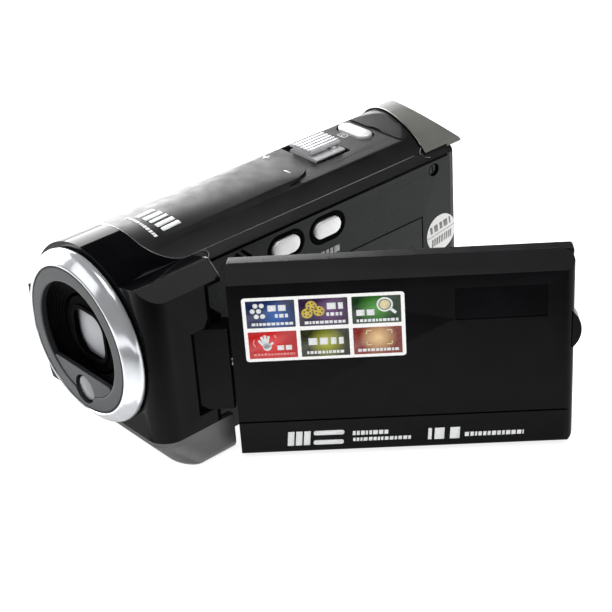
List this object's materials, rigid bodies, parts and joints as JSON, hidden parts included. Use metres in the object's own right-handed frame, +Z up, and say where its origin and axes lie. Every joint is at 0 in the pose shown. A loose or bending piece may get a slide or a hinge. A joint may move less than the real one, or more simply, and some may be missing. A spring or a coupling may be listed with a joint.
{
  "type": "camcorder",
  "caption": "Pocket camcorder with a swing-out screen, bright lens ring, rocking zoom lever, push buttons, sliding battery door and a tripod socket.",
  "frame": {"origin": "mouth of the tripod socket, on the underside, straight below the lens axis", "axes": "+Z up, the lens looks along -Y, the screen is on the +X side"},
  "size_m": [0.1142, 0.1175, 0.0583],
  "materials": {
    "chrome": "polished",
    "trim": "satin",
    "gloss_black": "high gloss",
    "graphite": "fine matte",
    "side_black": "satin",
    "base_black": "matte",
    "rear_black": "satin",
    "lens_black": "flat black",
    "glass": "coated",
    "screen": "glossy",
    "bezel": "satin",
    "steel": "bright",
    "brass": "machined",
    "circuit": "solder resist",
    "battery": "sleeve",
    "button_grey": "satin",
    "record_red": "satin",
    "sticker": "printed"
  },
  "bodies": {
    "chassis": {"chrome_ring": "chrome", "record_bezel": "chrome", "trim_ring": "trim", "sensor_plate": "trim", "front_housing": "gloss_black", "top_cover": "graphite", "rear_cap": "graphite", "strap_lug": "graphite", "side_rail": "graphite", "left_side_wall": "side_black", "right_grip_shell": "side_black", "lower_cover": "base_black", "rear_cover": "rear_black", "lens_well": "lens_black", "lens_frame": "lens_black", "lens_barrel": "lens_black", "zoom_bracket": "lens_black", "battery_bay": "lens_black", "front_lens": "glass", "rear_lens": "glass", "lamp_window": "glass", "hinge_pin": "steel", "zoom_pin": "steel", "case_screws": "steel", "usb_port": "steel", "av_jack": "steel", "speaker": "steel", "tripod_nut": "brass", "main_board": "circuit", "image_sensor": "circuit", "key_switches": "circuit", "rear_switches": "circuit", "photo_switch": "circuit", "battery": "battery", "status_lamp": "record_red", "round_label": "sticker"},
    "screen": {"panel_shell": "gloss_black", "panel_bezel": "bezel", "lcd_screen": "screen", "hinge_block": "gloss_black", "pivot_shaft": "steel", "feature_sticker": "sticker"},
    "zoom": {"zoom_lever": "chrome"},
    "photo": {"photo_button": "chrome"},
    "menu": {"menu_key": "chrome"},
    "display": {"display_key": "chrome"},
    "record": {"record_button": "record_red"},
    "mode": {"mode_button": "button_grey"},
    "power": {"power_button": "button_grey"},
    "door": {"battery_door": "side_black"}
  },
  "joints": [
    {"name": "screen_swing", "type": "hinge", "parent": "chassis", "child": "screen", "pos_m": [0.0242, -0.0378, 0.0267], "axis": [0, 0, -1], "range_deg": [-42, 48]},
    {"name": "zoom_rock", "type": "hinge", "parent": "chassis", "child": "zoom", "pos_m": [-0.0029, 0.024, 0.046], "axis": [0, 1, 0], "range_deg": [-9, 9], "stiffness_Nm_per_rad": 0.05},
    {"name": "photo_press", "type": "slide", "parent": "chassis", "child": "photo", "axis": [0, 0, -1], "range_m": [0, 0.0006], "stiffness_N_per_m": 300},
    {"name": "menu_press", "type": "slide", "parent": "chassis", "child": "menu", "axis": [-1, 0, 0], "range_m": [0, 0.0005], "stiffness_N_per_m": 300},
    {"name": "display_press", "type": "slide", "parent": "chassis", "child": "display", "axis": [-1, 0, 0], "range_m": [0, 0.0005], "stiffness_N_per_m": 300},
    {"name": "record_press", "type": "slide", "parent": "chassis", "child": "record", "axis": [0, -1, 0], "range_m": [0, 0.0007], "stiffness_N_per_m": 300},
    {"name": "mode_press", "type": "slide", "parent": "chassis", "child": "mode", "axis": [0, -1, 0], "range_m": [0, 0.0007], "stiffness_N_per_m": 300},
    {"name": "power_press", "type": "slide", "parent": "chassis", "child": "power", "axis": [0, -1, 0], "range_m": [0, 0.0007], "stiffness_N_per_m": 300},
    {"name": "door_slide", "type": "slide", "parent": "chassis", "child": "door", "axis": [0, 0, -1], "range_m": [0, 0.003]}
  ]
}
